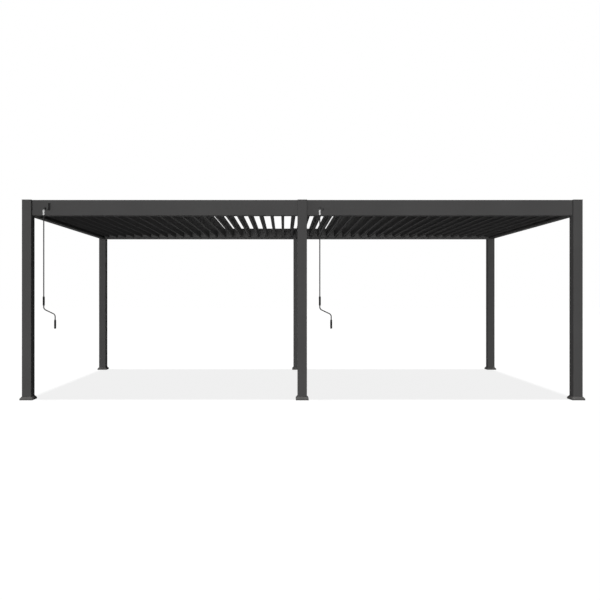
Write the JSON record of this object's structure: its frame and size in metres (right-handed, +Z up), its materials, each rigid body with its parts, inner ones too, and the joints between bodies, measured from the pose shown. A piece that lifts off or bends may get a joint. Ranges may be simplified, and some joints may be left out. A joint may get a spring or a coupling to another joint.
{
  "type": "louvered roof pergola",
  "caption": "Free-standing double-bay flat-roof pergola on square posts, with louver blades that turn together under a hand crank in each bay.",
  "frame": {"origin": "on the ground, under the middle of the roof", "axes": "+X along the roof's long side, to the right as seen from the front; +Y from the front, where the cranks hang, to the rear; +Z up"},
  "size_m": [7.244, 3.644, 2.574],
  "materials": {
    "frame": "satin anthracite powder coat",
    "louver": "satin anthracite powder coat",
    "crank": "satin grey rod with black grips"
  },
  "bodies": {
    "frame": {"post_front_left": "frame", "post_rear_left": "frame", "post_front_right": "frame", "post_rear_right": "frame", "centre_frame": "frame", "front_beam_left": "frame", "rear_beam_left": "frame", "side_beam_left": "frame", "front_beam_right": "frame", "rear_beam_right": "frame", "side_beam_right": "frame"},
    "crank_left": {"crank_left": "crank"},
    "louver_left_01": {"louver_left_01": "louver"},
    "louver_left_02": {"louver_left_02": "louver"},
    "louver_left_03": {"louver_left_03": "louver"},
    "louver_left_04": {"louver_left_04": "louver"},
    "louver_left_05": {"louver_left_05": "louver"},
    "louver_left_06": {"louver_left_06": "louver"},
    "louver_left_07": {"louver_left_07": "louver"},
    "louver_left_08": {"louver_left_08": "louver"},
    "louver_left_09": {"louver_left_09": "louver"},
    "louver_left_10": {"louver_left_10": "louver"},
    "louver_left_11": {"louver_left_11": "louver"},
    "louver_left_12": {"louver_left_12": "louver"},
    "louver_left_13": {"louver_left_13": "louver"},
    "louver_left_14": {"louver_left_14": "louver"},
    "louver_left_15": {"louver_left_15": "louver"},
    "louver_left_16": {"louver_left_16": "louver"},
    "louver_left_17": {"louver_left_17": "louver"},
    "louver_left_18": {"louver_left_18": "louver"},
    "louver_left_19": {"louver_left_19": "louver"},
    "louver_left_20": {"louver_left_20": "louver"},
    "louver_left_21": {"louver_left_21": "louver"},
    "louver_left_22": {"louver_left_22": "louver"},
    "louver_left_23": {"louver_left_23": "louver"},
    "crank_right": {"crank_right": "crank"},
    "louver_right_01": {"louver_right_01": "louver"},
    "louver_right_02": {"louver_right_02": "louver"},
    "louver_right_03": {"louver_right_03": "louver"},
    "louver_right_04": {"louver_right_04": "louver"},
    "louver_right_05": {"louver_right_05": "louver"},
    "louver_right_06": {"louver_right_06": "louver"},
    "louver_right_07": {"louver_right_07": "louver"},
    "louver_right_08": {"louver_right_08": "louver"},
    "louver_right_09": {"louver_right_09": "louver"},
    "louver_right_10": {"louver_right_10": "louver"},
    "louver_right_11": {"louver_right_11": "louver"},
    "louver_right_12": {"louver_right_12": "louver"},
    "louver_right_13": {"louver_right_13": "louver"},
    "louver_right_14": {"louver_right_14": "louver"},
    "louver_right_15": {"louver_right_15": "louver"},
    "louver_right_16": {"louver_right_16": "louver"},
    "louver_right_17": {"louver_right_17": "louver"},
    "louver_right_18": {"louver_right_18": "louver"},
    "louver_right_19": {"louver_right_19": "louver"},
    "louver_right_20": {"louver_right_20": "louver"},
    "louver_right_21": {"louver_right_21": "louver"},
    "louver_right_22": {"louver_right_22": "louver"},
    "louver_right_23": {"louver_right_23": "louver"}
  },
  "joints": [
    {"name": "crank_left_turn", "type": "hinge", "parent": "frame", "child": "crank_left", "pos_m": [-3.3155, -1.806, 1.2], "axis": [0, 0, 1], "range_deg": [-3692, 708]},
    {"name": "louver_left_01_tilt", "type": "hinge", "parent": "frame", "child": "louver_left_01", "pos_m": [-0.1015, 0, 2.485], "axis": [0, -1, 0], "range_deg": [-92.3, 17.7]},
    {"name": "louver_left_02_tilt", "type": "hinge", "parent": "frame", "child": "louver_left_02", "pos_m": [-0.253, 0, 2.485], "axis": [0, -1, 0], "range_deg": [-92.3, 17.7]},
    {"name": "louver_left_03_tilt", "type": "hinge", "parent": "frame", "child": "louver_left_03", "pos_m": [-0.4045, 0, 2.485], "axis": [0, -1, 0], "range_deg": [-92.3, 17.7]},
    {"name": "louver_left_04_tilt", "type": "hinge", "parent": "frame", "child": "louver_left_04", "pos_m": [-0.556, 0, 2.485], "axis": [0, -1, 0], "range_deg": [-92.3, 17.7]},
    {"name": "louver_left_05_tilt", "type": "hinge", "parent": "frame", "child": "louver_left_05", "pos_m": [-0.7075, 0, 2.485], "axis": [0, -1, 0], "range_deg": [-92.3, 17.7]},
    {"name": "louver_left_06_tilt", "type": "hinge", "parent": "frame", "child": "louver_left_06", "pos_m": [-0.859, 0, 2.485], "axis": [0, -1, 0], "range_deg": [-92.3, 17.7]},
    {"name": "louver_left_07_tilt", "type": "hinge", "parent": "frame", "child": "louver_left_07", "pos_m": [-1.0105, 0, 2.485], "axis": [0, -1, 0], "range_deg": [-92.3, 17.7]},
    {"name": "louver_left_08_tilt", "type": "hinge", "parent": "frame", "child": "louver_left_08", "pos_m": [-1.162, 0, 2.485], "axis": [0, -1, 0], "range_deg": [-92.3, 17.7]},
    {"name": "louver_left_09_tilt", "type": "hinge", "parent": "frame", "child": "louver_left_09", "pos_m": [-1.3135, 0, 2.485], "axis": [0, -1, 0], "range_deg": [-92.3, 17.7]},
    {"name": "louver_left_10_tilt", "type": "hinge", "parent": "frame", "child": "louver_left_10", "pos_m": [-1.465, 0, 2.485], "axis": [0, -1, 0], "range_deg": [-92.3, 17.7]},
    {"name": "louver_left_11_tilt", "type": "hinge", "parent": "frame", "child": "louver_left_11", "pos_m": [-1.6165, 0, 2.485], "axis": [0, -1, 0], "range_deg": [-92.3, 17.7]},
    {"name": "louver_left_12_tilt", "type": "hinge", "parent": "frame", "child": "louver_left_12", "pos_m": [-1.768, 0, 2.485], "axis": [0, -1, 0], "range_deg": [-92.3, 17.7]},
    {"name": "louver_left_13_tilt", "type": "hinge", "parent": "frame", "child": "louver_left_13", "pos_m": [-1.9195, 0, 2.485], "axis": [0, -1, 0], "range_deg": [-92.3, 17.7]},
    {"name": "louver_left_14_tilt", "type": "hinge", "parent": "frame", "child": "louver_left_14", "pos_m": [-2.071, 0, 2.485], "axis": [0, -1, 0], "range_deg": [-92.3, 17.7]},
    {"name": "louver_left_15_tilt", "type": "hinge", "parent": "frame", "child": "louver_left_15", "pos_m": [-2.2225, 0, 2.485], "axis": [0, -1, 0], "range_deg": [-92.3, 17.7]},
    {"name": "louver_left_16_tilt", "type": "hinge", "parent": "frame", "child": "louver_left_16", "pos_m": [-2.374, 0, 2.485], "axis": [0, -1, 0], "range_deg": [-92.3, 17.7]},
    {"name": "louver_left_17_tilt", "type": "hinge", "parent": "frame", "child": "louver_left_17", "pos_m": [-2.5255, 0, 2.485], "axis": [0, -1, 0], "range_deg": [-92.3, 17.7]},
    {"name": "louver_left_18_tilt", "type": "hinge", "parent": "frame", "child": "louver_left_18", "pos_m": [-2.677, 0, 2.485], "axis": [0, -1, 0], "range_deg": [-92.3, 17.7]},
    {"name": "louver_left_19_tilt", "type": "hinge", "parent": "frame", "child": "louver_left_19", "pos_m": [-2.8285, 0, 2.485], "axis": [0, -1, 0], "range_deg": [-92.3, 17.7]},
    {"name": "louver_left_20_tilt", "type": "hinge", "parent": "frame", "child": "louver_left_20", "pos_m": [-2.98, 0, 2.485], "axis": [0, -1, 0], "range_deg": [-92.3, 17.7]},
    {"name": "louver_left_21_tilt", "type": "hinge", "parent": "frame", "child": "louver_left_21", "pos_m": [-3.1315, 0, 2.485], "axis": [0, -1, 0], "range_deg": [-92.3, 17.7]},
    {"name": "louver_left_22_tilt", "type": "hinge", "parent": "frame", "child": "louver_left_22", "pos_m": [-3.283, 0, 2.485], "axis": [0, -1, 0], "range_deg": [-92.3, 17.7]},
    {"name": "louver_left_23_tilt", "type": "hinge", "parent": "frame", "child": "louver_left_23", "pos_m": [-3.4345, 0, 2.485], "axis": [0, -1, 0], "range_deg": [-92.3, 17.7]},
    {"name": "crank_right_turn", "type": "hinge", "parent": "frame", "child": "crank_right", "pos_m": [0.2245, -1.806, 1.2], "axis": [0, 0, 1], "range_deg": [-3692, 708]},
    {"name": "louver_right_01_tilt", "type": "hinge", "parent": "frame", "child": "louver_right_01", "pos_m": [0.0906, 0, 2.485], "axis": [0, -1, 0], "range_deg": [-92.3, 17.7]},
    {"name": "louver_right_02_tilt", "type": "hinge", "parent": "frame", "child": "louver_right_02", "pos_m": [0.2421, 0, 2.485], "axis": [0, -1, 0], "range_deg": [-92.3, 17.7]},
    {"name": "louver_right_03_tilt", "type": "hinge", "parent": "frame", "child": "louver_right_03", "pos_m": [0.3936, 0, 2.485], "axis": [0, -1, 0], "range_deg": [-92.3, 17.7]},
    {"name": "louver_right_04_tilt", "type": "hinge", "parent": "frame", "child": "louver_right_04", "pos_m": [0.5451, 0, 2.485], "axis": [0, -1, 0], "range_deg": [-92.3, 17.7]},
    {"name": "louver_right_05_tilt", "type": "hinge", "parent": "frame", "child": "louver_right_05", "pos_m": [0.6966, 0, 2.485], "axis": [0, -1, 0], "range_deg": [-92.3, 17.7]},
    {"name": "louver_right_06_tilt", "type": "hinge", "parent": "frame", "child": "louver_right_06", "pos_m": [0.8481, 0, 2.485], "axis": [0, -1, 0], "range_deg": [-92.3, 17.7]},
    {"name": "louver_right_07_tilt", "type": "hinge", "parent": "frame", "child": "louver_right_07", "pos_m": [0.9996, 0, 2.485], "axis": [0, -1, 0], "range_deg": [-92.3, 17.7]},
    {"name": "louver_right_08_tilt", "type": "hinge", "parent": "frame", "child": "louver_right_08", "pos_m": [1.1511, 0, 2.485], "axis": [0, -1, 0], "range_deg": [-92.3, 17.7]},
    {"name": "louver_right_09_tilt", "type": "hinge", "parent": "frame", "child": "louver_right_09", "pos_m": [1.3026, 0, 2.485], "axis": [0, -1, 0], "range_deg": [-92.3, 17.7]},
    {"name": "louver_right_10_tilt", "type": "hinge", "parent": "frame", "child": "louver_right_10", "pos_m": [1.4541, 0, 2.485], "axis": [0, -1, 0], "range_deg": [-92.3, 17.7]},
    {"name": "louver_right_11_tilt", "type": "hinge", "parent": "frame", "child": "louver_right_11", "pos_m": [1.6056, 0, 2.485], "axis": [0, -1, 0], "range_deg": [-92.3, 17.7]},
    {"name": "louver_right_12_tilt", "type": "hinge", "parent": "frame", "child": "louver_right_12", "pos_m": [1.7571, 0, 2.485], "axis": [0, -1, 0], "range_deg": [-92.3, 17.7]},
    {"name": "louver_right_13_tilt", "type": "hinge", "parent": "frame", "child": "louver_right_13", "pos_m": [1.9086, 0, 2.485], "axis": [0, -1, 0], "range_deg": [-92.3, 17.7]},
    {"name": "louver_right_14_tilt", "type": "hinge", "parent": "frame", "child": "louver_right_14", "pos_m": [2.0601, 0, 2.485], "axis": [0, -1, 0], "range_deg": [-92.3, 17.7]},
    {"name": "louver_right_15_tilt", "type": "hinge", "parent": "frame", "child": "louver_right_15", "pos_m": [2.2116, 0, 2.485], "axis": [0, -1, 0], "range_deg": [-92.3, 17.7]},
    {"name": "louver_right_16_tilt", "type": "hinge", "parent": "frame", "child": "louver_right_16", "pos_m": [2.3631, 0, 2.485], "axis": [0, -1, 0], "range_deg": [-92.3, 17.7]},
    {"name": "louver_right_17_tilt", "type": "hinge", "parent": "frame", "child": "louver_right_17", "pos_m": [2.5146, 0, 2.485], "axis": [0, -1, 0], "range_deg": [-92.3, 17.7]},
    {"name": "louver_right_18_tilt", "type": "hinge", "parent": "frame", "child": "louver_right_18", "pos_m": [2.6661, 0, 2.485], "axis": [0, -1, 0], "range_deg": [-92.3, 17.7]},
    {"name": "louver_right_19_tilt", "type": "hinge", "parent": "frame", "child": "louver_right_19", "pos_m": [2.8176, 0, 2.485], "axis": [0, -1, 0], "range_deg": [-92.3, 17.7]},
    {"name": "louver_right_20_tilt", "type": "hinge", "parent": "frame", "child": "louver_right_20", "pos_m": [2.9691, 0, 2.485], "axis": [0, -1, 0], "range_deg": [-92.3, 17.7]},
    {"name": "louver_right_21_tilt", "type": "hinge", "parent": "frame", "child": "louver_right_21", "pos_m": [3.1206, 0, 2.485], "axis": [0, -1, 0], "range_deg": [-92.3, 17.7]},
    {"name": "louver_right_22_tilt", "type": "hinge", "parent": "frame", "child": "louver_right_22", "pos_m": [3.2721, 0, 2.485], "axis": [0, -1, 0], "range_deg": [-92.3, 17.7]},
    {"name": "louver_right_23_tilt", "type": "hinge", "parent": "frame", "child": "louver_right_23", "pos_m": [3.4236, 0, 2.485], "axis": [0, -1, 0], "range_deg": [-92.3, 17.7]}
  ],
  "couplings": [
    {"joint": "louver_left_01_tilt", "follows": "crank_left_turn", "ratio": 0.025},
    {"joint": "louver_left_02_tilt", "follows": "crank_left_turn", "ratio": 0.025},
    {"joint": "louver_left_03_tilt", "follows": "crank_left_turn", "ratio": 0.025},
    {"joint": "louver_left_04_tilt", "follows": "crank_left_turn", "ratio": 0.025},
    {"joint": "louver_left_05_tilt", "follows": "crank_left_turn", "ratio": 0.025},
    {"joint": "louver_left_06_tilt", "follows": "crank_left_turn", "ratio": 0.025},
    {"joint": "louver_left_07_tilt", "follows": "crank_left_turn", "ratio": 0.025},
    {"joint": "louver_left_08_tilt", "follows": "crank_left_turn", "ratio": 0.025},
    {"joint": "louver_left_09_tilt", "follows": "crank_left_turn", "ratio": 0.025},
    {"joint": "louver_left_10_tilt", "follows": "crank_left_turn", "ratio": 0.025},
    {"joint": "louver_left_11_tilt", "follows": "crank_left_turn", "ratio": 0.025},
    {"joint": "louver_left_12_tilt", "follows": "crank_left_turn", "ratio": 0.025},
    {"joint": "louver_left_13_tilt", "follows": "crank_left_turn", "ratio": 0.025},
    {"joint": "louver_left_14_tilt", "follows": "crank_left_turn", "ratio": 0.025},
    {"joint": "louver_left_15_tilt", "follows": "crank_left_turn", "ratio": 0.025},
    {"joint": "louver_left_16_tilt", "follows": "crank_left_turn", "ratio": 0.025},
    {"joint": "louver_left_17_tilt", "follows": "crank_left_turn", "ratio": 0.025},
    {"joint": "louver_left_18_tilt", "follows": "crank_left_turn", "ratio": 0.025},
    {"joint": "louver_left_19_tilt", "follows": "crank_left_turn", "ratio": 0.025},
    {"joint": "louver_left_20_tilt", "follows": "crank_left_turn", "ratio": 0.025},
    {"joint": "louver_left_21_tilt", "follows": "crank_left_turn", "ratio": 0.025},
    {"joint": "louver_left_22_tilt", "follows": "crank_left_turn", "ratio": 0.025},
    {"joint": "louver_left_23_tilt", "follows": "crank_left_turn", "ratio": 0.025},
    {"joint": "louver_right_01_tilt", "follows": "crank_right_turn", "ratio": 0.025},
    {"joint": "louver_right_02_tilt", "follows": "crank_right_turn", "ratio": 0.025},
    {"joint": "louver_right_03_tilt", "follows": "crank_right_turn", "ratio": 0.025},
    {"joint": "louver_right_04_tilt", "follows": "crank_right_turn", "ratio": 0.025},
    {"joint": "louver_right_05_tilt", "follows": "crank_right_turn", "ratio": 0.025},
    {"joint": "louver_right_06_tilt", "follows": "crank_right_turn", "ratio": 0.025},
    {"joint": "louver_right_07_tilt", "follows": "crank_right_turn", "ratio": 0.025},
    {"joint": "louver_right_08_tilt", "follows": "crank_right_turn", "ratio": 0.025},
    {"joint": "louver_right_09_tilt", "follows": "crank_right_turn", "ratio": 0.025},
    {"joint": "louver_right_10_tilt", "follows": "crank_right_turn", "ratio": 0.025},
    {"joint": "louver_right_11_tilt", "follows": "crank_right_turn", "ratio": 0.025},
    {"joint": "louver_right_12_tilt", "follows": "crank_right_turn", "ratio": 0.025},
    {"joint": "louver_right_13_tilt", "follows": "crank_right_turn", "ratio": 0.025},
    {"joint": "louver_right_14_tilt", "follows": "crank_right_turn", "ratio": 0.025},
    {"joint": "louver_right_15_tilt", "follows": "crank_right_turn", "ratio": 0.025},
    {"joint": "louver_right_16_tilt", "follows": "crank_right_turn", "ratio": 0.025},
    {"joint": "louver_right_17_tilt", "follows": "crank_right_turn", "ratio": 0.025},
    {"joint": "louver_right_18_tilt", "follows": "crank_right_turn", "ratio": 0.025},
    {"joint": "louver_right_19_tilt", "follows": "crank_right_turn", "ratio": 0.025},
    {"joint": "louver_right_20_tilt", "follows": "crank_right_turn", "ratio": 0.025},
    {"joint": "louver_right_21_tilt", "follows": "crank_right_turn", "ratio": 0.025},
    {"joint": "louver_right_22_tilt", "follows": "crank_right_turn", "ratio": 0.025},
    {"joint": "louver_right_23_tilt", "follows": "crank_right_turn", "ratio": 0.025}
  ]
}
